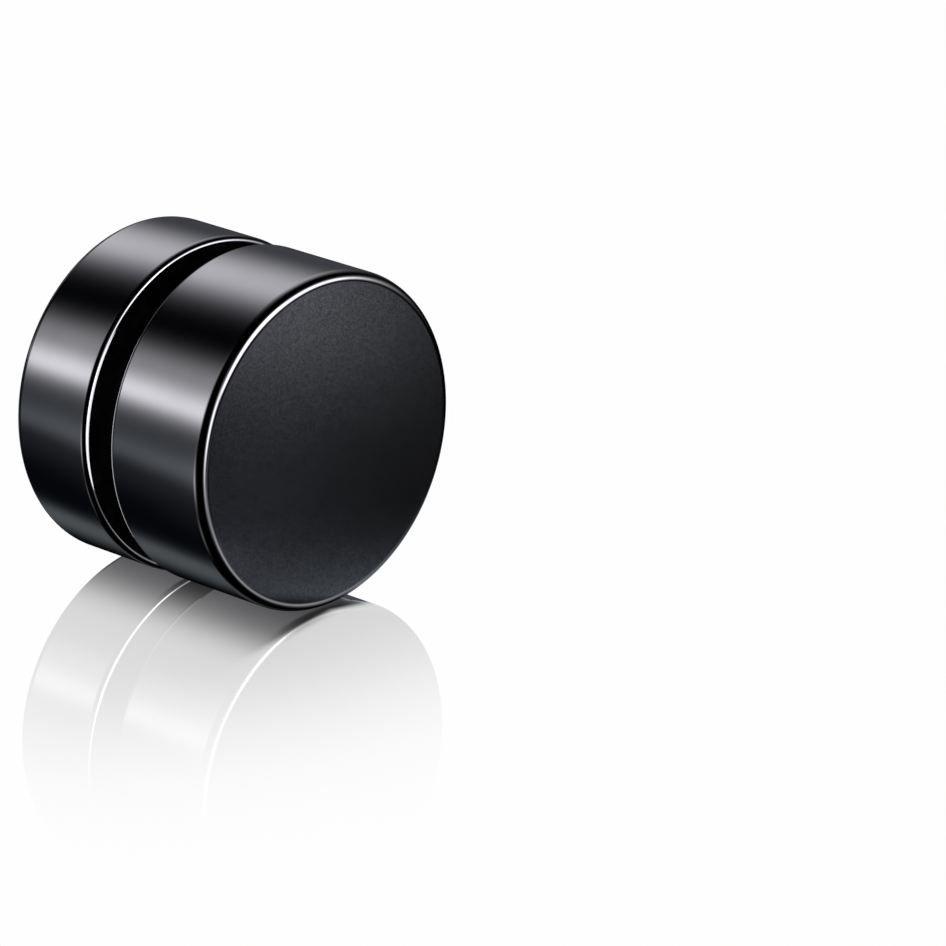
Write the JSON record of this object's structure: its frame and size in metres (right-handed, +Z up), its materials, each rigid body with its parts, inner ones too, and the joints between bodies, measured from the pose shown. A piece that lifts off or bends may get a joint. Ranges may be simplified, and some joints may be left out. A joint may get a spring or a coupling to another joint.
{
  "type": "magnetic stud earring",
  "caption": "Round magnetic stud earring: a thicker and a thinner black steel disc on one axis, each holding a disc magnet, that pull together through the earlobe.",
  "frame": {"origin": "middle of the bounding box's base, on the surface that the two rims lie on", "axes": "+Z up; +Y along the common axis of the discs, from the front disc to the back disc, so the front face looks towards -Y; +X to the right as the front face is seen"},
  "size_m": [0.008, 0.0062, 0.008],
  "materials": {
    "black_steel": "black ion plating, mirror polished on the walls and rims, fine satin on the flat faces",
    "magnet_nickel": "black nickel plating, satin"
  },
  "bodies": {
    "front_half": {"front_disc": "black_steel", "front_magnet": "magnet_nickel"},
    "back_half": {"back_disc": "black_steel", "back_magnet": "magnet_nickel"}
  },
  "joints": [
    {"name": "pull_apart", "type": "slide", "parent": "front_half", "child": "back_half", "axis": [0, 1, 0], "range_m": [0, 0.006], "stiffness_N_per_m": 1, "springref_m": -0.02}
  ]
}
